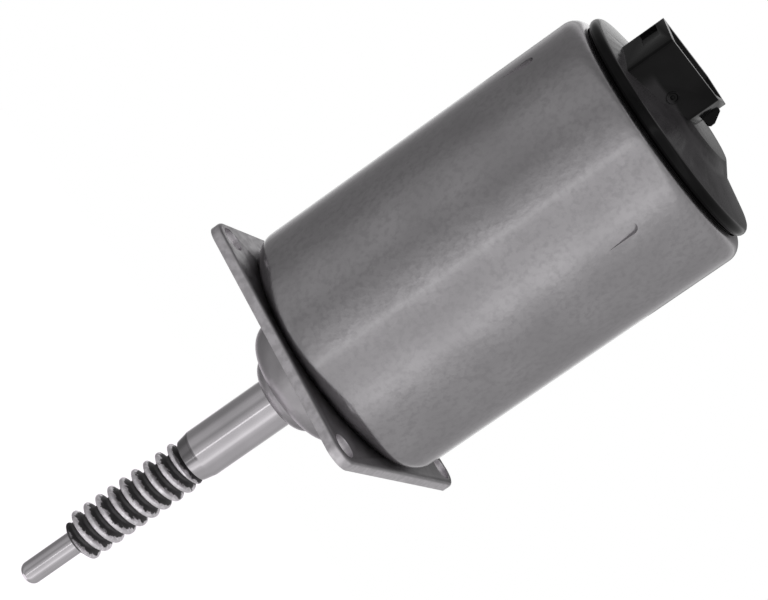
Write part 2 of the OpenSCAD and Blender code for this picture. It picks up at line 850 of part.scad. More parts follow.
// Brass guides, one round each brush
module brush_guides() {
    in_w = brush_w + 2 * brush_clear;
    in_h = brush_h + 2 * brush_clear;
    out_w = in_w + 2 * guide_wall;
    out_h = in_h + 2 * guide_wall;
    guide_l = guide_out_r - guide_in_r;
    color("gold")
        for (i = [0:brush_n - 1])
            rotate([0, 0, 360 / brush_n * i])
                translate([guide_in_r, 0, brush_z + brush_h / 2])
                    difference() {
                        translate([guide_l / 2, 0, 0]) cube([guide_l, out_w, out_h - 0.04], center = true);
                        translate([guide_l / 2 - guide_wall, 0, 0])
                            cube([guide_l, in_w, in_h], center = true);
                        translate([guide_l / 2, 0, in_h / 2]) cube([guide_l - 5, 1.6, 3], center = true);
                    }
}

// Carbon brush with a face that fits the commutator
module brush(i) {
    color("black")
        rotate([0, 0, 360 / brush_n * i])
            difference() {
                translate([brush_in_r - 1, -brush_w / 2, brush_z]) cube([brush_l + 1, brush_w, brush_h]);
                translate([0, 0, brush_z - 1]) cylinder(r = brush_in_r, h = brush_h + 2);
                translate([brush_in_r + brush_l - 1, 0, brush_z + brush_h / 2])
                    rotate([0, 90, 0]) cylinder(r = 1, h = 2, $fn = 24);
            }
}

module carbon_brush_1() { brush(0); }
module carbon_brush_2() { brush(1); }
module carbon_brush_3() { brush(2); }
module carbon_brush_4() { brush(3); }

// Round wire wound along X
module spring(length, r, wire, turns) {
    per_turn = 12;
    sides = 6;
    n = turns * per_turn;
    points = [for (i = [0:n])
        let (a = 360 * i / per_turn, x = wire / 2 + (length - wire) * i / n)
        each [for (k = [0:sides - 1])
            let (b = 360 * k / sides, rr = r + wire / 2 * cos(b))
            [x + wire / 2 * sin(b), rr * cos(a), rr * sin(a)]]];
    skin = [for (i = [0:n - 1], k = [0:sides - 1])
        let (k2 = (k + 1) % sides, p = i * sides)
        each [[p + k, p + sides + k, p + k2], [p + k2, p + sides + k, p + sides + k2]]];
    ends = [[for (k = [0:sides - 1]) k], [for (k = [sides - 1:-1:0]) n * sides + k]];
    polyhedron(points, concat(skin, ends));
}

// Springs behind the brushes
module brush_springs() {
    x0 = brush_in_r + brush_l + 0.1;
    color("lightgray")
        for (i = [0:brush_n - 1])
            rotate([0, 0, 360 / brush_n * i])
                translate([x0, 0, brush_z + brush_h / 2])
                    spring(guide_out_r - guide_wall - 0.1 - x0, spring_r, spring_wire, spring_turns);
}

// Stamped half ring under a blade foot, with a leg on each of two opposite guides
module busbar(i, first) {
    bar_w = 2.2;
    leg_w = 2.4;
    in_r = norm(blade_foot(i)) - bar_w / 2;
    leg_z = guide_top_z + fit;
    color("orange")
        rotate([0, 0, first])
            union() {
                rotate_extrude(angle = 180)
                    translate([in_r, busbar_z]) square([bar_w, busbar_t]);
                for (a = [0, 180])
                    rotate([0, 0, a])
                        translate([in_r, -leg_w / 2, leg_z])
                            cube([bar_w, leg_w, busbar_z + busbar_t - leg_z]);
            }
}

module busbar_plus() { busbar(0, 180); }
module busbar_minus() { busbar(1, 90); }

// Ferrite rods of the suppression chokes
module choke_cores() {
    color("dimgray")
        for (a = choke_angles)
            rotate([0, 0, a])
                translate([choke_r, 0, choke_z])
                    cylinder(d = choke_d, h = busbar_z - 0.4 - choke_z, $fn = 48);
}

// Windings of the suppression chokes
module choke_windings() {
    wire = 1.1;
    turns = 6;
    in_r = choke_d / 2 + 2 * fit;
    color("peru")
        for (a = choke_angles)
            rotate([0, 0, a])
                translate([choke_r, 0, choke_z + 0.3])
                    rotate_extrude()
                        union() {
                            translate([in_r, 0]) square([wire / 2, wire * turns]);
                            for (i = [0:turns - 1])
                                translate([in_r + wire / 2, wire * (i + 0.5)]) circle(d = wire, $fn = 24);
                        }
}

// Outline of the socket, blunt at one end and pointed at the other
function socket_outline(inset, r) =
    let (x0 = inset - socket_x, y0 = inset - socket_y, y1 = socket_w - socket_y - inset,
         shoulder_x = socket_tip_x - socket_shoulder - inset * 0.4)
    rounded([[x0, y0], [shoulder_x, y0], [socket_tip_x - inset * 1.15, socket_tip_y],
        [shoulder_x, y1], [x0, y1]], r);

// Section of the cover outside
function cover_section() =
    concat(
        [[0, cover_z + 4], [neck_r - cover_wall - 2, cover_z + 4], [neck_r - cover_wall, cover_z + fit],
         [cover_flange_r, cover_z + fit]],
        arc(lip_in_r, can_curl_z - 0.1, cover_flange_r - lip_in_r, 0, 90, 4),
        [[neck_r, lip_end_z - can_wall - 0.2], [neck_r, lip_end_z + 0.25]],
        arc(rim_r - rim_round, cover_edge_z - rim_round, rim_round, -35, 80, 6),
        [[dome_foot_d / 2, cone_top_z], [dome_top_d / 2, dome_z], [0, dome_z]]);

// Hollow under the cone and the dome, with a thick floor left under the socket
module cover_hollow() {
    lift = cover_wall / cos(20);
    in_r = neck_r - cover_wall;
    difference() {
        rotate_extrude()
            polygon([[0, cover_z - 1], [in_r, cover_z - 1], [in_r, cover_edge_z - cover_wall + 0.2],
                [dome_foot_d / 2 - 1, cone_top_z - lift], [dome_top_d / 2 - 1, dome_z - lift],
                [0, dome_z - lift]]);
        translate([0, 0, socket_floor_z - socket_floor_t])
            linear_extrude(socket_deep) polygon(socket_outline(0, socket_round));
    }
}

// Ramp on the pointed end of the socket that holds the plug
module socket_catch() {
    x = socket_tip_x;
    z = socket_z;
    translate([0, socket_tip_y + catch_w / 2, 0])
        rotate([90, 0, 0])
            linear_extrude(catch_w)
                polygon([[x - 1.3, z - 5.9], [x + catch_out - 0.5, z - 5.9], [x + catch_out, z - 5.3],
                    [x + catch_out - 0.1, z - 4.2], [x - 0.2, z - 1.7], [x - 1.3, z - 1.7]]);
}

// Moulded cover with its socket
module rear_cover() {
    color("black")
        difference() {
            union() {
                rotate_extrude() polygon(cover_section());
                translate([0, 0, cover_edge_z - 1.5])
                    linear_extrude(socket_z - cover_edge_z + 1.5) polygon(socket_outline(0, socket_round));
                socket_catch();
            }
            cover_hollow();
            // Groove for the seal
            ring(cover_flange_r - 1.8, cover_flange_r + 1, cover_z + 1, 1.8);
            // Inside of the socket
            translate([0, 0, socket_floor_z])
                linear_extrude(socket_deep + 1) polygon(socket_outline(socket_wall, socket_round / 2));
            // Recess in the blunt end of the socket
            translate([-socket_x - 1, socket_w - socket_y - 1.1 - recess_w, socket_z - 2.2 - recess_l])
                cube([1 + recess_deep, recess_w, recess_l]);
            // Slots for the blades
            for (i = [0, 1])
                translate([blade_foot(i)[0], blade_mid_y, socket_floor_z - 2])
                    cube([blade_w + 2 * fit, blade_t + 2 * fit, 10], center = true);
        }
}

// Rubber ring between the cover and the can
module cover_seal() {
    color("dimgray")
        translate([0, 0, cover_z + 1.9])
            rotate_extrude()
                translate([cover_flange_r - 0.9, 0]) circle(r = 0.85, $fn = 32);
}

// Tinned blade, bent outward under the cover and down to its busbar
module terminal_blade(i) {
    foot_z = busbar_z + busbar_t + fit;
    tip_top = socket_z - blade_sunk;
    x = blade_foot(i)[0];
    color("gold")
        translate([x - blade_w / 2, 0, 0])
            union() {
                translate([0, blade_mid_y - blade_t / 2, blade_bend_z])
                    cube([blade_w, blade_t, tip_top - blade_bend_z]);
                translate([0, blade_foot_y - blade_t / 2, blade_bend_z])
                    cube([blade_w, blade_mid_y - blade_foot_y + blade_t, blade_t]);
                translate([0, blade_foot_y - blade_t / 2, foot_z])
                    cube([blade_w, blade_t, blade_bend_z - foot_z + eps]);
            }
}

module terminal_blade_1() { terminal_blade(0); }
module terminal_blade_2() { terminal_blade(1); }

mounting_flange();
motor_can();
shaft_seal();
bearing_retainer();
front_bearing_outer();
front_bearing_inner();
front_bearing_balls();
front_bearing_cage();
rear_bearing_outer();
rear_bearing_inner();
rear_bearing_balls();
rear_bearing_cage();
wave_washer();
end_plate();
magnet_1();
magnet_2();
magnet_3();
magnet_4();
magnet_clips();
worm_shaft();
shaft_circlip();
armature_core();
front_insulator();
rear_insulator();
armature_winding();
commutator_hub();
commutator_bars();
brush_plate();
brush_guides();
carbon_brush_1();
carbon_brush_2();
carbon_brush_3();
carbon_brush_4();
brush_springs();
busbar_plus();
busbar_minus();
choke_cores();
choke_windings();
rear_cover();
cover_seal();
terminal_blade_1();
terminal_blade_2();
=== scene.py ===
# Looks of the eccentric shaft actuator: materials, finer surfaces, light and camera.
# Lengths are in metres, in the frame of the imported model. MM turns millimetres into metres.
import json
import math

import bmesh
import bpy
from mathutils import Matrix, Vector


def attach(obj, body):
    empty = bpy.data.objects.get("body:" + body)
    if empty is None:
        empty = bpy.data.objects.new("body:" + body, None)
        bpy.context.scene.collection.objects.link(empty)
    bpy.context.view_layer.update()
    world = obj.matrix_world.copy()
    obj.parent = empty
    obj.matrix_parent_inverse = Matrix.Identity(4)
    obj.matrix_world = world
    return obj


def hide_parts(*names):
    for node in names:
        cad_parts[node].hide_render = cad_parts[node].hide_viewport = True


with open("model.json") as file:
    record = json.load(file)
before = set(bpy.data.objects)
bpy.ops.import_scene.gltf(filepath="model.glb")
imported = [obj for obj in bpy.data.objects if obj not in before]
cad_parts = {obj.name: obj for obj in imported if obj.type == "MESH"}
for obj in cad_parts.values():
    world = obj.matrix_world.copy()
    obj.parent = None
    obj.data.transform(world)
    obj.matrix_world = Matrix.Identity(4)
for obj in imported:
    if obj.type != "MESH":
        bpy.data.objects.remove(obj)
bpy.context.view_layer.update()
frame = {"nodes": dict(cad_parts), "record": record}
scene = bpy.context.scene
MM = 0.001

# Camera, as fitted to the photograph
CAMERA_AT = Vector((-0.2448, -0.5458, 0.1604))
CAMERA_AIM = Vector((-0.0046, 0.0015, 0.0198))
PICTURE_UP = Vector((-0.6966, 0.4495, 0.5592))
FOCAL_PX = 2700
FRAME_W_PX = 768
SENSOR_MM = 36
# Direction from the axis to the camera, as an azimuth in degrees
CAMERA_AZIMUTH = math.degrees(math.atan2(CAMERA_AT.y, CAMERA_AT.x))

# Range that holds nearly all values of a noise
NOISE_SPAN = (0.3, 0.7)

# Sizes of the worm shaft in millimetres, as in the CAD. Heights count from the front of the flange
SHAFT_R = 6.1
SHAFT_END_Z = -40
CHAMFER_L = 3.2
CHAMFER = 0.6
WORM_OUT_R = 6.05
WORM_ROOT_R = 4.1
WORM_END_Z = -74.4
WORM_PITCH = 3.59
# Azimuth in degrees at which a crest meets the end of the ground shaft, less half a sample
WORM_START = 7
WORM_PROFILE = (1, 0.93, 0.52, 0.07, 0, 0.07, 0.52, 0.93)
RUNOUT_L = 1.3
PIN_R = 2.9
PIN_END_Z = -90.4
PIN_ROUND = 2
SHAFT_COLUMNS = 96
PIN_ROUND_STEPS = 8
WORM_STEPS = 250
# Outline of the shaft behind the worm, as radius and height, up to the rear journal
REAR_SHAFT = ((6.1, 1.55), (5.6, 1.55), (5.6, 2.75), (6.1, 2.75), (6.1, 8), (5.5, 9),
              (5.5, 84), (4, 84), (4, 92.1), (3.5, 92.6))
# Side of the chamfer on which a dark reflection is painted, as a direction across the axis
DARK_REFLECTION_SIDE = (-0.86, -0.51)
# Edge roundings of the flange and the cover, in millimetres, and their numbers of segments
FLANGE_ROUND = 0.2
FLANGE_OUTER_ROUND = 0.9
COVER_ROUND = 0.25
ROUND_STEPS = 3
WIDE_ROUND_STEPS = 5
# Angles in degrees: edges sharper than the first are rounded, flatter than the second are dissolved
SHARP_ANGLE = 30
FLAT_ANGLE = 0.3
# Distance in millimetres under which two vertices are one
MERGE = 0.002
# Flange: centres of the screw holes in metres, and what counts as its outer edge in millimetres
EAR_HOLES = ((-0.03798, 0.00133), (0, -0.04), (0.04089, 0.00502))
EAR_HOLE_CLEAR = 3.6
FLANGE_HOLE_CLEAR = 20
FLANGE_REAR_Z = 2.5

# Drawn can in millimetres, as in the CAD: radii and heights of its section
CAN_R = 32
CAN_WALL = 2.2
PLATE_T = 2.6
CAN_CORNER_R = 5
LIP_R = 4
LIP_Z = 89.4
STEP_Z = 69
STEP_R = 29.3
INNER_CORNER_R = 2.6
FRONT_WALL_Z = 4.8
NOSE_R = 16.3
NOSE_NECK_R = 16.1
NOSE_GROOVE_Z = -0.4
NOSE_ROUND = 5.9
NOSE_L = 11.3
BOSS_R = 10.7
BOSS_ROUND = 4.7
BOSS_L = 3.3
SHAFT_HOLE_R = 6.6
BOSS_FLOOR_Z = -11.8
SEAL_R = 8.4
SEAL_END_Z = -7.5
SEAT_R = 14.05
SEAT_Z = -6.5
CAN_SIDES = 192
# Short straight runs beside a curve or a cut, which keep the shading tight
CAN_TIGHT = 0.6
TONGUE_TIGHT = 1
# Staked tongues of the can, in millimetres
TONGUES = 4
TONGUE_L = 8.8
TONGUE_W = 3
TONGUE_DEEP = 1.1
TONGUE_Z = 72.2
# Centre of the gate mark on the near side of the socket, in millimetres
GATE_MARK = (-10.9, -13, 101.3)
# Height where the cone of the cover meets the socket, and how far up the socket's foot is dull
CONE_Z = 96.5
SOCKET_FOOT_Z = 102.2
SOCKET_LEFT_X = -19

# Tint of steel seen at a glancing angle
EDGE_TINT = (0.62, 0.6, 0.62, 1)

# Brightness of the studio walls and of the card behind, by azimuth from the camera in degrees
WALL_LEVELS = ((-160, 0.75), (-140, 0.3), (-118, 0.26), (-95, 0.28), (-75, 0.46), (-55, 0.5),
               (-40, 0.34), (-26, 0.5), (-18, 0.62), (-8.5, 0.64), (-7.5, 1.8), (-4.5, 1.8),
               (-3, 0.72), (18, 0.76), (30, 0.9), (38, 1.1), (44, 1.1), (52, 0.72), (72, 0.56),
               (100, 0.56), (125, 0.48), (145, 0.52), (160, 0.8))
CARD_LEVELS = ((160, 0.6), (166, 0.22), (174, 0.18), (179, 0.42), (185, 1.2), (190, 1.2),
               (195, 0.45), (200, 0.45))
# The strongest level that the walls can have
WALL_TOP = 3
WALL_SIDES = 96
# Sections of the studio walls and of the card behind, as radius and height in metres
WALL_PROFILE = ((0.1, -0.39), (0.6, -0.37), (0.7, -0.3), (0.7, 0.3), (0.52, 0.52), (0.2, 0.66),
                (0.01, 0.68))
CARD_PROFILE = ((0.7, -0.04), (0.7, 0.3), (0.52, 0.52), (0.2, 0.66), (0.01, 0.68))
FLOOR_Z = -0.4
FLOOR_R = 1.2
FLOOR_SIDES = 128
# Own glow of the floor, and the plain level at which the world lights matt surfaces
FLOOR_LIFT = 0.45
WORLD_LEVEL = 0.7
# What the lamps point at, in metres
LAMP_AIM = (0, 0, 0.02)


def make_camera():
    """Camera in the place and with the view that were fitted to the photograph."""
    data = bpy.data.cameras.new("camera")
    data.sensor_fit = "HORIZONTAL"
    data.sensor_width = SENSOR_MM
    data.lens = SENSOR_MM * FOCAL_PX / FRAME_W_PX
    data.clip_start = 0.01
    data.clip_end = 50
    cam = bpy.data.objects.new("camera", data)
    scene.collection.objects.link(cam)
    ahead = (CAMERA_AIM - CAMERA_AT).normalized()
    right = ahead.cross(PICTURE_UP).normalized()
    up = right.cross(ahead)
    turn = Matrix((right, up, -ahead)).transposed().to_4x4()
    cam.matrix_world = Matrix.Translation(CAMERA_AT) @ turn
    scene.camera = cam


# Node helpers


class Tree:
    """Short calls for the nodes of one material or world."""

    def __init__(self, owner):
        owner.use_nodes = True
        self.tree = owner.node_tree
        self.tree.nodes.clear()

    def add(self, kind, **settings):
        node = self.tree.nodes.new(kind)
        for name, value in settings.items():
            setattr(node, name, value)
        return node

    def link(self, a, b):
        self.tree.links.new(a, b)

    def math(self, operation, a, b=None):
        node = self.add("ShaderNodeMath", operation=operation)
        for socket, value in zip(node.inputs, (a, b)):
            if value is None:
                continue
            if isinstance(value, (int, float)):
                socket.default_value = value
            else:
                self.link(value, socket)
        return node.outputs[0]

    def remap(self, value, from_range, to_range, smooth=True):
        node = self.add("ShaderNodeMapRange")
        node.interpolation_type = "SMOOTHSTEP" if smooth else "LINEAR"
        node.inputs["From Min"].default_value, node.inputs["From Max"].default_value = from_range
        node.inputs["To Min"].default_value, node.inputs["To Max"].default_value = to_range
        self.link(value, node.inputs["Value"])
        return node.outputs[0]

    def blend(self, noise, a, b):
        """From a to b as a noise goes from low to high."""
        return self.mix(self.remap(noise, NOISE_SPAN, (0, 1)), a, b)

    def mix(self, factor, a, b):
        node = self.add("ShaderNodeMix", data_type="RGBA")
        self.link(factor, node.inputs["Factor"])
        for socket, value in ((node.inputs[6], a), (node.inputs[7], b)):
            if isinstance(value, tuple):
                socket.default_value = (*value, 1)
            else:
                self.link(value, socket)
        return node.outputs[2]

    def noise(self, vector, scale, detail=3.0, rough=0.5):
        node = self.add("ShaderNodeTexNoise")
        node.inputs["Scale"].default_value = scale
        node.inputs["Detail"].default_value = detail
        node.inputs["Roughness"].default_value = rough
        self.link(vector, node.inputs["Vector"])
        return node.outputs["Fac"]

    def stretch(self, vector, scale):
        node = self.add("ShaderNodeMapping", vector_type="POINT")
        node.inputs["Scale"].default_value = scale
        self.link(vector, node.inputs["Vector"])
        return node.outputs[0]

    def place(self):
        """Object coordinates, their parts, and the distance from the axis."""
        at = self.add("ShaderNodeTexCoord").outputs["Object"]
        split = self.add("ShaderNodeSeparateXYZ")
        self.link(at, split.inputs[0])
        x, y, z = split.outputs
        r = self.math("SQRT", self.math("ADD", self.math("MULTIPLY", x, x), self.math("MULTIPLY", y, y)))
        return at, x, y, z, r

    def round_coords(self, x, y, z, r):
        """Coordinates that unroll the part round its axis: direction cosines and height."""
        join = self.add("ShaderNodeCombineXYZ")
        self.link(self.math("DIVIDE", x, r), join.inputs[0])
        self.link(self.math("DIVIDE", y, r), join.inputs[1])
        self.link(z, join.inputs[2])
        return join.outputs[0]

    def normal_z(self):
        """How far the surface faces along the axis, -1 to 1."""
        split = self.add("ShaderNodeSeparateXYZ")
        self.link(self.add("ShaderNodeTexCoord").outputs["Normal"], split.inputs[0])
        return split.outputs[2]

    def finish(self, surface, kind="ShaderNodeOutputMaterial"):
        """Links a shader to the output."""
        self.link(surface, self.add(kind).inputs[0])

    def bump(self, height, strength, distance):
        node = self.add("ShaderNodeBump")
        node.inputs["Strength"].default_value = strength
        node.inputs["Distance"].default_value = distance
        self.link(height, node.inputs["Height"])
        return node.outputs[0]

    def shader(self, colour, rough, normal, **plain):
        """Principled shader. Sockets with one value all over are set directly."""
        node = self.add("ShaderNodeBsdfPrincipled")
        self.finish(node.outputs[0])
        self.link(colour, node.inputs["Base Color"])
        self.link(rough, node.inputs["Roughness"])
        self.link(normal, node.inputs["Normal"])
        for name, value in plain.items():
            node.inputs[name.replace("_", " ")].default_value = value
        return node


def grained(name, dark, light, rough, scale, metal=1.0, stretch=(1, 1, 1), bump=0.1):
    """A finish whose colour, gloss and height follow one grain."""
    mat = bpy.data.materials.new(name)
    t = Tree(mat)
    at = t.place()[0]
    coarse = t.noise(t.stretch(at, stretch), scale, 4)
    fine = t.noise(t.stretch(at, stretch), scale * 7, 2)
    colour = t.blend(coarse, dark, light)
    gloss = t.remap(fine, NOISE_SPAN, rough)
    t.shader(colour, gloss, t.bump(fine, bump, 0.1 * MM), Metallic=metal)
    return mat


def grey(value):
    """The slightly warm violet grey of the photographed metal."""
    return (value, value * 0.96, value)


def can_steel():
    """Deep-drawn steel: satin, faintly mottled, with fine lines along the axis, and a duller nose painted
    lighter as a reflection of the pale floor below it.
    """
    mat = bpy.data.materials.new("can_steel")
    t = Tree(mat)
    at, x, y, z, r = t.place()
    around = t.round_coords(x, y, z, r)
    drawn = t.noise(t.stretch(around, (5, 5, 25)), 1, 3)
    mottle = t.noise(at, 700, 3, 0.55)
    cloud = t.noise(at, 70, 3)
    colour = t.blend(cloud, grey(0.33), grey(0.38))
    colour = t.mix(t.remap(mottle, (0.4, 0.7), (0, 0.8)), colour, grey(0.3))
    # The nose is duller, and its colour is painted lighter as a reflection of the pale floor it faces
    nose_duller_and_painted_lighter = t.remap(z, (-1 * MM, 0.5 * MM), (1, 0))
    colour = t.mix(nose_duller_and_painted_lighter, colour, t.blend(cloud, grey(0.37), grey(0.46)))
    rough = t.math("ADD", t.remap(drawn, NOISE_SPAN, (0.28, 0.32)), t.math("MULTIPLY", nose_duller_and_painted_lighter, 0.1))
    node = t.shader(colour, rough, t.bump(mottle, 1, 0.08 * MM), Metallic=1.0, Specular_Tint=EDGE_TINT,
                    Coat_Roughness=0.13, Coat_IOR=1.7)
    t.link(t.remap(nose_duller_and_painted_lighter, (0, 1), (0.85, 0.25)), node.inputs["Coat Weight"])
    return mat


def flange_steel():
    """Blanked sheet: dull grey faces and brighter sheared edges."""
    mat = bpy.data.materials.new("flange_steel")
    t = Tree(mat)
    at = t.place()[0]
    facing = t.math("ABSOLUTE", t.normal_z())
    cloud = t.noise(at, 120, 4, 0.6)
    mottle = t.noise(at, 600, 3)
    face = t.blend(cloud, grey(0.21), grey(0.27))
    edge = t.mix(t.remap(mottle, (0.35, 0.65), (0, 1)), grey(0.55), grey(0.68))
    colour = t.mix(t.remap(facing, (0.3, 0.9), (0, 1)), edge, face)
    rough = t.remap(mottle, NOISE_SPAN, (0.36, 0.46))
    t.shader(colour, rough, t.bump(mottle, 0.1, 0.05 * MM), Metallic=1.0)
    return mat


def shaft_steel():
    """Ground shaft with fine rings, a dark reflection painted on one side of its chamfered end, and dark
    worm roots.
    """
    mat = bpy.data.materials.new("shaft_steel")
    t = Tree(mat)
    at, x, y, z, r = t.place()
    rings = t.noise(t.stretch(at, (40, 40, 4000)), 1, 3)
    cloud = t.noise(at, 90, 2)
    ragged = t.noise(at, 480, 4, 0.65)
    colour = t.blend(cloud, grey(0.58), grey(0.64))
    # The roots are darker, and the dark climbs the flanks by an uneven height
    depth = t.math("ADD", r, t.math("MULTIPLY", t.math("SUBTRACT", ragged, 0.5), 3.6 * MM))
    root = t.remap(depth, ((WORM_OUT_R - 0.5) * MM, (WORM_OUT_R - 0.85) * MM), (0, 1))
    before = t.remap(z, ((SHAFT_END_Z - 0.1) * MM, (SHAFT_END_Z + 0.05) * MM), (1, 0))
    behind = t.remap(z, ((WORM_END_Z - 0.2) * MM, (WORM_END_Z + 0.1) * MM), (0, 1))
    on_worm = t.math("MULTIPLY", before, behind)
    root = t.math("MULTIPLY", root, on_worm)
    fleck = t.remap(t.noise(at, 900, 2), (0.5, 0.62), (0, 1))
    colour = t.mix(on_worm, colour, t.mix(fleck, grey(0.8), grey(1)))
    colour = t.mix(root, colour, t.mix(ragged, grey(0.07), grey(0.17)))
    # The last turn is blackened
    tail = t.remap(z, ((WORM_END_Z + 0.9) * MM, (WORM_END_Z + 1.5) * MM), (1, 0))
    tail = t.math("MULTIPLY", tail, on_worm)
    tail = t.math("MULTIPLY", tail, t.remap(ragged, (0.35, 0.55), (0.5, 1)))
    colour = t.mix(tail, colour, grey(0.06))
    # A dark reflection is painted on one side of the chamfer, with a thin dark line painted where the
    # chamfer starts
    side = t.math("ADD", t.math("MULTIPLY", x, DARK_REFLECTION_SIDE[0]), t.math("MULTIPLY", y, DARK_REFLECTION_SIDE[1]))
    side = t.remap(t.math("DIVIDE", side, r), (0.7, 0.8), (0, 1))
    chamfer_z = SHAFT_END_Z + CHAMFER_L
    painted_dark_line = t.math("ABSOLUTE", t.math("SUBTRACT", z, chamfer_z * MM))
    painted_dark_line = t.math("MULTIPLY", t.remap(painted_dark_line, (0.15 * MM, 0.4 * MM), (0.75, 0)), side)
    colour = t.mix(painted_dark_line, colour, grey(0.16))
    # Painted dark reflection over the chamfer on that side
    painted_dark_reflection = t.remap(z, ((chamfer_z - 0.2) * MM, chamfer_z * MM), (0.8, 0))
    painted_dark_reflection = t.math("MULTIPLY", painted_dark_reflection, t.remap(z, ((SHAFT_END_Z - 0.1) * MM, SHAFT_END_Z * MM), (0, 1)))
    colour = t.mix(t.math("MULTIPLY", painted_dark_reflection, side), colour, grey(0.17))
    rough = t.math("ADD", t.remap(rings, NOISE_SPAN, (0.11, 0.17)), t.math("MULTIPLY", on_worm, 0.3))
    rough = t.math("ADD", rough, t.math("MULTIPLY", root, 0.2))
    t.shader(colour, rough, t.bump(rings, 0.05, 0.02 * MM), Metallic=1.0)
    return mat


def cover_plastic():
    """Black moulding: glossy sides, satin where it faces away from the can, and lighter and duller at the
    socket's foot.
    """
    mat = bpy.data.materials.new("cover_plastic")
    t = Tree(mat)
    at, x, y, z, r = t.place()
    grain = t.noise(at, 1500, 3)
    cloud = t.noise(at, 150, 3)
    top = t.remap(t.normal_z(), (0.8, 0.93), (0, 1))
    # The foot of the socket's near side is lighter and duller, up to an uneven height
    foot = t.math("ADD", z, t.math("MULTIPLY", cloud, 2 * MM))
    foot = t.remap(foot, (SOCKET_FOOT_Z * MM, (SOCKET_FOOT_Z - 1) * MM), (0, 0.85))
    foot = t.math("MULTIPLY", foot, t.remap(z, (CONE_Z * MM, (CONE_Z + 0.5) * MM), (0, 1)))
    foot = t.math("MULTIPLY", foot, t.remap(x, (SOCKET_LEFT_X * MM, (SOCKET_LEFT_X + 4) * MM), (0, 1)))
    top = t.math("MAXIMUM", top, foot)
    glossy = t.blend(cloud, grey(0.001), grey(0.0025))
    satin = t.blend(cloud, grey(0.018), grey(0.026))
    rough = t.math("ADD", t.remap(grain, NOISE_SPAN, (0.12, 0.17)), t.math("MULTIPLY", top, 0.08))
    t.shader(t.mix(top, glossy, satin), rough, t.bump(grain, 0.04, 0.05 * MM), Metallic=0.0,
             Specular_IOR_Level=0.11)
    return mat


def inner_materials():
    """Finishes of the pieces inside, by material slot: two colours, a range of roughness and a grain."""
    rows = (
        ("seal_rubber", grey(0.015), grey(0.03), (0.55, 0.75), 900, {"metal": 0, "bump": 0.2}),
        ("pressed_steel", grey(0.42), grey(0.55), (0.25, 0.4), 500, {}),
        ("bearing_steel", grey(0.55), grey(0.65), (0.1, 0.18), 600, {"bump": 0.03}),
        ("cage_plastic", (0.5, 0.42, 0.24), (0.6, 0.52, 0.32), (0.4, 0.55), 700, {"metal": 0}),
        ("ferrite", grey(0.05), grey(0.09), (0.5, 0.7), 800, {"metal": 0, "bump": 0.3}),
        ("laminations", grey(0.2), grey(0.34), (0.35, 0.55), 1, {"stretch": (200, 200, 2500)}),
        ("slot_insulation", (0.04, 0.16, 0.08), (0.07, 0.22, 0.12), (0.4, 0.5), 500, {"metal": 0}),
        ("copper", (0.55, 0.2, 0.1), (0.75, 0.34, 0.18), (0.2, 0.35), 800, {}),
        ("moulding", (0.06, 0.025, 0.012), (0.1, 0.045, 0.02), (0.35, 0.5), 600, {"metal": 0}),
        ("carrier_plastic", grey(0.02), grey(0.035), (0.4, 0.55), 900, {"metal": 0}),
        ("brass_sheet", (0.6, 0.43, 0.17), (0.72, 0.55, 0.26), (0.2, 0.35), 900, {}),
        ("carbon", grey(0.02), grey(0.05), (0.45, 0.65), 1200, {"metal": 0.2, "bump": 0.2}),
    )
    return {name: grained(name, dark, light, rough, scale, **more)
            for name, dark, light, rough, scale, more in rows}


def dress_nodes():
    """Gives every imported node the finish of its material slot."""
    finishes = inner_materials()
    finishes["can_steel"] = can_steel()
    finishes["flange_steel"] = flange_steel()
    finishes["ground_steel"] = shaft_steel()
    finishes["black_plastic"] = cover_plastic()
    for part in frame["record"]["subparts"]:
        mesh = frame["nodes"][part["node"]].data
        mesh.materials.clear()
        mesh.materials.append(finishes[part["material_slot"]])
    return finishes


# Finer pieces that stand for CAD nodes


def smooth_by_angle(mesh, degrees):
    """Smooth shading, but for edges sharper than an angle."""
    mesh.shade_smooth()
    mesh.set_sharp_from_angle(angle=math.radians(degrees))


def stand_in(piece, node, hides=True):
    """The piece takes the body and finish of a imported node, and its place if it hides it."""
    part = next(p for p in frame["record"]["subparts"] if p["node"] == node)
    bodies = frame["record"]["behaviour"]["bodies"]
    body = next(name for name, nodes in bodies.items() if node in nodes)
    piece.data.materials.clear()
    piece.data.materials.append(FINISHES[part["material_slot"]])
    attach(piece, body)
    if hides:
        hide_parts(node)


def add_on(bm, name, node, degrees):
    """A small extra piece on a node, with that node's body and finish."""
    mesh = bpy.data.meshes.new(name)
    bm.to_mesh(mesh)
    bm.free()
    piece = bpy.data.objects.new(name, mesh)
    scene.collection.objects.link(piece)
    smooth_by_angle(mesh, degrees)
    stand_in(piece, node, hides=False)


def soften(node, name, width, wide=None, chosen=None):
    """A copy of a node with its sharp edges rounded, first more widely where a vertex is chosen."""
    mesh = frame["nodes"][node].data.copy()
    bm = bmesh.new()
    bm.from_mesh(mesh)
    bmesh.ops.remove_doubles(bm, verts=bm.verts, dist=MERGE * MM)
    bmesh.ops.dissolve_limit(bm, angle_limit=math.radians(FLAT_ANGLE), verts=bm.verts, edges=bm.edges)
    passes = [(width, ROUND_STEPS, lambda v: True)]
    if wide:
        passes.insert(0, (wide, WIDE_ROUND_STEPS, chosen))
    for offset, steps, test in passes:
        sharp = [e for e in bm.edges
                 if len(e.link_faces) == 2 and e.calc_face_angle() > math.radians(SHARP_ANGLE)
                 and all(test(v.co) for v in e.verts)]
        bmesh.ops.bevel(bm, geom=sharp, offset=offset, offset_type="OFFSET", segments=steps, profile=0.5,
                        affect="EDGES", clamp_overlap=True)
    bm.to_mesh(mesh)
    bm.free()
    piece = bpy.data.objects.new(name, mesh)
    scene.collection.objects.link(piece)
    smooth_by_angle(mesh, 35)
    stand_in(piece, node)


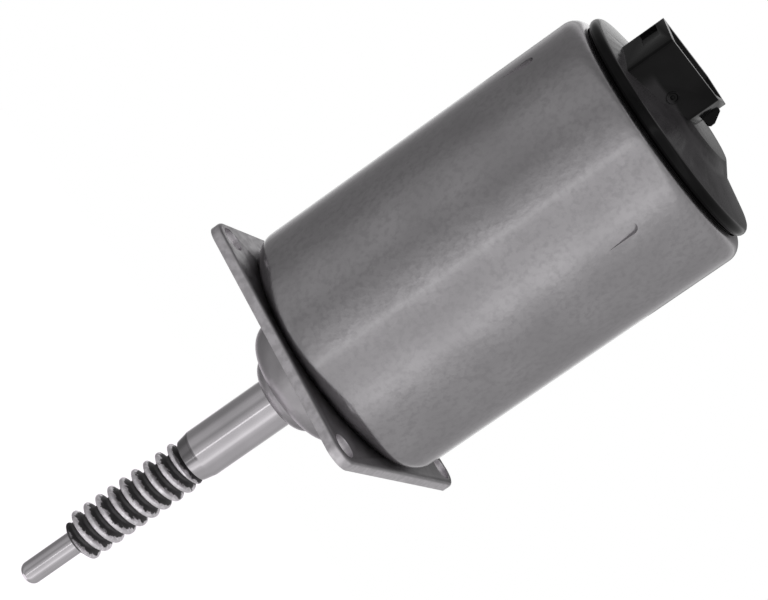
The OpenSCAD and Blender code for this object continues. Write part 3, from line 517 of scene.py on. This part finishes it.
def on_outline(at):
    """Whether a vertex of the flange lies on its outer edge, on the rear face."""
    clear = all((at.xy - Vector(hole)).length > EAR_HOLE_CLEAR * MM for hole in EAR_HOLES)
    return clear and at.xy.length > FLANGE_HOLE_CLEAR * MM and at.z > FLANGE_REAR_Z * MM


def thread_height(phase):
    """Height of the thread, 0 to 1, at a phase in turns. Smooth through the profile samples."""
    count = len(WORM_PROFILE)
    at = (phase % 1) * count
    i = int(at)
    u = at - i
    a, b, c, d = (WORM_PROFILE[(i + k) % count] for k in (-1, 0, 1, 2))
    value = b + 0.5 * u * (c - a + u * (2 * a - 5 * b + 4 * c - d + u * (3 * (b - c) + d - a)))
    return min(max(value, 0), 1)


def worm_rows():
    """Rows of the worm, from the pin to the ground shaft, with run-outs at both ends."""
    rows = []
    length = SHAFT_END_Z - WORM_END_Z
    rise = WORM_OUT_R - WORM_ROOT_R
    first_crest = SHAFT_END_Z - WORM_PITCH / len(WORM_PROFILE) / 2
    for k in range(1, WORM_STEPS + 1):
        z = WORM_END_Z + length * k / WORM_STEPS
        ends = max(0, min(1, (SHAFT_END_Z - z) / RUNOUT_L, (z - WORM_END_Z) / RUNOUT_L))
        radii = []
        for i in range(SHAFT_COLUMNS):
            turn = (360 * i / SHAFT_COLUMNS - WORM_START) / 360
            phase = (first_crest - z) / WORM_PITCH + turn
            radii.append(WORM_ROOT_R + rise * ends * thread_height(phase))
        rows.append((z, radii))
    return rows


def plain_rows(outline):
    """Rows of a plain turned stretch, from its outline as radius and height."""
    return [(z, [r] * SHAFT_COLUMNS) for r, z in outline]


def shaft_rows():
    """Rows of the worm shaft from its tip to its rear end: heights and radii for every column.

    Rows close to an edge keep the shading of the long stretches straight.
    """
    chamfer_r = SHAFT_R - CHAMFER
    chamfer_z = SHAFT_END_Z + CHAMFER_L
    tip = arc(PIN_R - PIN_ROUND, PIN_END_Z + PIN_ROUND, PIN_ROUND, -90, 0, PIN_ROUND_STEPS)
    pin = [(PIN_R, PIN_END_Z + PIN_ROUND + 0.15), (PIN_R, WORM_END_Z - 0.3), (PIN_R, WORM_END_Z - 0.15),
           (PIN_R + 0.15, WORM_END_Z), (WORM_ROOT_R - 0.2, WORM_END_Z)]
    shoulder = [(chamfer_r - 0.25, SHAFT_END_Z), (chamfer_r - 0.06, SHAFT_END_Z + 0.08),
                (chamfer_r + 0.02, SHAFT_END_Z + 0.25), (chamfer_r + 0.05, SHAFT_END_Z + 0.4)]
    chamfer = [(SHAFT_R - 0.1, chamfer_z - 0.5), (SHAFT_R - 0.06, chamfer_z - 0.3),
               (SHAFT_R - 0.02, chamfer_z - 0.1), (SHAFT_R, chamfer_z + 0.1), (SHAFT_R, chamfer_z + 0.3)]
    return (plain_rows(tip + pin) + worm_rows() + plain_rows(shoulder + chamfer)
            + plain_rows(REAR_SHAFT))


def make_worm_shaft():
    """Ground shaft with its worm, closed, with fine helical flanks."""
    columns = SHAFT_COLUMNS
    rows = shaft_rows()
    points = []
    for z, radii in rows:
        for i, r in enumerate(radii):
            a = 2 * math.pi * i / columns
            points.append((r * math.cos(a) * MM, r * math.sin(a) * MM, z * MM))
    faces = [[j * columns + i, j * columns + (i + 1) % columns,
              (j + 1) * columns + (i + 1) % columns, (j + 1) * columns + i]
             for j in range(len(rows) - 1) for i in range(columns)]
    faces.append(list(range(columns - 1, -1, -1)))
    faces.append([(len(rows) - 1) * columns + i for i in range(columns)])
    mesh = bpy.data.meshes.new("ground_worm_shaft")
    mesh.from_pydata(points, [], faces)
    piece = bpy.data.objects.new("ground_worm_shaft", mesh)
    scene.collection.objects.link(piece)
    smooth_by_angle(mesh, 40)
    stand_in(piece, "worm_shaft")


def arc(r, z, radius, start, end, steps):
    """Points of an arc in the section of a turned part, as radius and height. Angles are in degrees."""
    turns = [math.radians(start + (end - start) * k / steps) for k in range(steps + 1)]
    return [(r + radius * math.cos(a), z + radius * math.sin(a)) for a in turns]


def can_section():
    """Section of the drawn can, as in the CAD, with finer curves: outside first, then inside."""
    tip_z = -NOSE_L - BOSS_L
    lip_r = CAN_R - LIP_R
    corner_z = PLATE_T + CAN_CORNER_R
    corner_r = STEP_R - INNER_CORNER_R
    outside = [
        (SHAFT_HOLE_R, tip_z),
        *arc(BOSS_R - BOSS_ROUND, tip_z + BOSS_ROUND, BOSS_ROUND, -86, -18, 16),
        *arc(NOSE_R - NOSE_ROUND, NOSE_ROUND - NOSE_L, NOSE_ROUND, -84, 0, 20),
        (NOSE_R, NOSE_GROOVE_Z), (NOSE_NECK_R, NOSE_GROOVE_Z), (NOSE_NECK_R, PLATE_T),
        *arc(CAN_R - CAN_CORNER_R, corner_z, CAN_CORNER_R, -90, 0, 20),
        (CAN_R, corner_z + CAN_TIGHT), (CAN_R, TONGUE_Z - TONGUE_TIGHT),
        (CAN_R, TONGUE_Z + TONGUE_L + TONGUE_TIGHT), (CAN_R, LIP_Z - CAN_TIGHT),
        *arc(lip_r, LIP_Z, LIP_R, 0, 90, 20)]
    inside = [
        *arc(lip_r, LIP_Z, LIP_R - CAN_WALL, 90, 0, 8),
        (CAN_R - CAN_WALL, STEP_Z), (STEP_R, STEP_Z),
        *arc(corner_r, FRONT_WALL_Z + INNER_CORNER_R, INNER_CORNER_R, 0, -90, 8),
        (SEAT_R, FRONT_WALL_Z), (SEAT_R, SEAT_Z), (SEAL_R + 1, SEAT_Z), (SEAL_R, SEAL_END_Z),
        (SEAL_R, BOSS_FLOOR_Z), (SHAFT_HOLE_R, BOSS_FLOOR_Z)]
    return outside + inside


def turned(section):
    """A closed section turned round the axis."""
    bm = bmesh.new()
    rings = [[bm.verts.new((r * math.cos(a) * MM, r * math.sin(a) * MM, z * MM)) for r, z in section]
             for a in (2 * math.pi * k / CAN_SIDES for k in range(CAN_SIDES))]
    for ring, after in zip(rings, rings[1:] + rings[:1]):
        for j in range(len(section)):
            k = (j + 1) % len(section)
            bm.faces.new((ring[j], after[j], after[k], ring[k]))
    bmesh.ops.recalc_face_normals(bm, faces=bm.faces)
    return bm


def tongue_cutters():
    """Wedges that cut the staked tongues: each sinks evenly from its root to its round end."""
    above = 1.5
    skim = 0.02
    half = TONGUE_W / 2
    round_end = [(half * math.cos(a), TONGUE_L - half + half * math.sin(a))
                 for a in (math.pi * k / 16 for k in range(17))]
    outline = [(-half, 0), (half, 0), *round_end]
    bm = bmesh.new()
    for n in range(TONGUES):
        rings = []
        for top in (False, True):
            ring = []
            for u, v in outline:
                r = CAN_R + above if top else CAN_R + skim - TONGUE_DEEP * v / TONGUE_L
                ring.append(bm.verts.new((r * MM, u * MM, (TONGUE_Z + v) * MM)))
            rings.append(ring)
        low, high = rings
        bm.faces.new(list(reversed(low)))
        bm.faces.new(high)
        for i in range(len(outline)):
            k = (i + 1) % len(outline)
            bm.faces.new((low[i], low[k], high[k], high[i]))
        turn = Matrix.Rotation(2 * math.pi * n / TONGUES, 3, "Z")
        bmesh.ops.rotate(bm, verts=low + high, cent=(0, 0, 0), matrix=turn)
    bmesh.ops.recalc_face_normals(bm, faces=bm.faces)
    return bm


def make_can():
    """Drawn can with smooth curves and its staked tongues."""
    pieces = []
    for name, bm in (("drawn_can", turned(can_section())), ("tongue_cutters", tongue_cutters())):
        mesh = bpy.data.meshes.new(name)
        bm.to_mesh(mesh)
        bm.free()
        pieces.append(bpy.data.objects.new(name, mesh))
        scene.collection.objects.link(pieces[-1])
    can, cutters = pieces
    cut = can.modifiers.new("tongues", "BOOLEAN")
    cut.operation = "DIFFERENCE"
    cut.solver = "EXACT"
    cut.object = cutters
    solved = can.evaluated_get(bpy.context.evaluated_depsgraph_get())
    mesh = bpy.data.meshes.new_from_object(solved)
    can.modifiers.clear()
    can.data = mesh
    bpy.data.objects.remove(cutters)
    smooth_by_angle(mesh, 30)
    stand_in(can, "motor_can")


def make_gate_mark():
    """Small moulded ring and pip at the foot of the socket's near side."""
    profile = ((0, 0.3), (0.35, 0.28), (0.5, 0.12), (0.55, 0.04), (1, 0.04), (1.1, 0.2), (1.3, 0.24),
               (1.45, 0.14), (1.5, -0.05))
    sides = 32
    bm = bmesh.new()
    rings = []
    for r, h in profile:
        count = sides if r else 1
        rings.append([bm.verts.new(((GATE_MARK[0] + r * math.cos(2 * math.pi * k / sides)) * MM,
                                    (GATE_MARK[1] - h) * MM,
                                    (GATE_MARK[2] + r * math.sin(2 * math.pi * k / sides)) * MM))
                      for k in range(count)])
    for k in range(sides):
        m = (k + 1) % sides
        bm.faces.new((rings[0][0], rings[1][k], rings[1][m]))
        for a, b in zip(rings[1:], rings[2:]):
            bm.faces.new((a[k], b[k], b[m], a[m]))
    bm.faces.new(list(reversed(rings[-1])))
    bmesh.ops.recalc_face_normals(bm, faces=bm.faces)
    add_on(bm, "moulding_gate_mark", "rear_cover", 50)


# Stage: pale floor, soft studio light


def seen_white(t, white, lit):
    """White for what the camera sees directly, in a mirror or through glass, and lit otherwise."""
    path = t.add("ShaderNodeLightPath")
    direct = t.math("MAXIMUM", path.outputs["Is Camera Ray"], path.outputs["Is Glossy Ray"])
    direct = t.math("MAXIMUM", direct, path.outputs["Is Transmission Ray"])
    mixer = t.add("ShaderNodeMixShader")
    t.link(direct, mixer.inputs[0])
    t.link(lit, mixer.inputs[1])
    t.link(white, mixer.inputs[2])
    return mixer.outputs[0]


def make_world():
    """White background, also in reflections. It lights matt surfaces at a plain level."""
    world = bpy.data.worlds.new("studio")
    scene.world = world
    t = Tree(world)
    plain = t.add("ShaderNodeBackground")
    plain.inputs[0].default_value = (*grey(WORLD_LEVEL), 1)
    white = t.add("ShaderNodeBackground")
    white.inputs[0].default_value = (1, 1, 1, 1)
    t.finish(seen_white(t, white.outputs[0], plain.outputs[0]), "ShaderNodeOutputWorld")


def stage_piece(name, points, faces, mat):
    """A piece of the stage, which is no part of the object."""
    mesh = bpy.data.meshes.new(name)
    mesh.from_pydata(points, [], faces)
    mesh.materials.append(mat)
    piece = bpy.data.objects.new(name, mesh)
    scene.collection.objects.link(piece)
    return piece


def make_walls():
    """Grey studio walls with a bright window, curved in above and below, and a card behind.

    They are seen in reflections alone. The walls are open at the back, below the card.
    """
    wall_band("studio_walls", WALL_LEVELS, WALL_PROFILE, -180)
    wall_band("studio_card", CARD_LEVELS, CARD_PROFILE, 0)


def wall_band(name, levels, profile, low):
    """A turned piece of wall that glows.

    levels gives its brightness by azimuth from the camera, and azimuths are counted from low.
    """
    mat = bpy.data.materials.new(name)
    t = Tree(mat)
    at, x, y, z, r = t.place()
    turn = t.math("MULTIPLY", t.math("ARCTAN2", y, x), 180 / math.pi)
    turn = t.math("SUBTRACT", turn, CAMERA_AZIMUTH)
    turn = t.math("WRAP", turn, low + 360)
    turn.node.inputs[2].default_value = low
    ramp = t.add("ShaderNodeValToRGB")
    ramp.color_ramp.interpolation = "LINEAR"
    stops = ramp.color_ramp.elements
    while len(stops) < len(levels):
        stops.new(0.5)
    for stop, (degrees, level) in zip(stops, levels):
        stop.position = (degrees - low) / 360
        stop.color = (*[level / WALL_TOP] * 3, 1)
    t.link(t.remap(turn, (low, low + 360), (0, 1), smooth=False), ramp.inputs[0])
    glow = t.add("ShaderNodeEmission")
    t.link(ramp.outputs[0], glow.inputs[0])
    glow.inputs[1].default_value = WALL_TOP
    t.finish(glow.outputs[0])
    start, end = levels[0][0], levels[-1][0]
    count = len(profile)
    points, faces = [], []
    for k in range(WALL_SIDES + 1):
        a = math.radians(CAMERA_AZIMUTH + start + (end - start) * k / WALL_SIDES)
        points += [(r * math.cos(a), r * math.sin(a), h) for r, h in profile]
        if k:
            faces += [((k - 1) * count + j, k * count + j, k * count + j + 1, (k - 1) * count + j + 1)
                      for j in range(count - 1)]
    walls = stage_piece(name, points, faces, mat)
    walls.visible_camera = False
    walls.visible_diffuse = False
    walls.visible_transmission = False
    walls.visible_volume_scatter = False
    walls.visible_shadow = False


def make_floor():
    """Pale round floor under the hanging part. It looks white and keeps the shadow."""
    points = [(FLOOR_R * math.cos(a), FLOOR_R * math.sin(a), FLOOR_Z)
              for a in (2 * math.pi * i / FLOOR_SIDES for i in range(FLOOR_SIDES))]
    mat = bpy.data.materials.new("floor")
    t = Tree(mat)
    at = t.place()[0]
    matt = t.add("ShaderNodeBsdfDiffuse")
    t.link(t.mix(t.noise(at, 30), grey(0.78), grey(0.82)), matt.inputs[0])
    lift = t.add("ShaderNodeEmission")
    lift.inputs[1].default_value = FLOOR_LIFT
    both = t.add("ShaderNodeAddShader")
    t.link(matt.outputs[0], both.inputs[0])
    t.link(lift.outputs[0], both.inputs[1])
    t.finish(seen_white(t, both.outputs[0], matt.outputs[0]))
    stage_piece("floor", points, [list(range(FLOOR_SIDES))], mat)


def area_light(name, at, size, power):
    """Soft lamp that lights the part and is seen neither directly nor in reflections."""
    data = bpy.data.lights.new(name, "AREA")
    data.shape = "RECTANGLE"
    data.size, data.size_y = size
    data.energy = power
    lamp = bpy.data.objects.new(name, data)
    scene.collection.objects.link(lamp)
    lamp.location = at
    lamp.rotation_euler = (Vector(LAMP_AIM) - Vector(at)).to_track_quat("-Z", "Y").to_euler()
    lamp.visible_camera = False
    lamp.visible_glossy = False


make_camera()
FINISHES = dress_nodes()
soften("mounting_flange", "flange_plate", FLANGE_ROUND * MM, FLANGE_OUTER_ROUND * MM, on_outline)
soften("rear_cover", "moulded_cover", COVER_ROUND * MM)
make_worm_shaft()
make_can()
make_gate_mark()
make_world()
make_walls()
make_floor()
area_light("key", (-0.6, -0.5, 0.7), (0.5, 0.5), 6)
area_light("fill", (0.7, -0.4, 0.3), (0.4, 0.6), 2)
scene.view_settings.view_transform = "Standard"
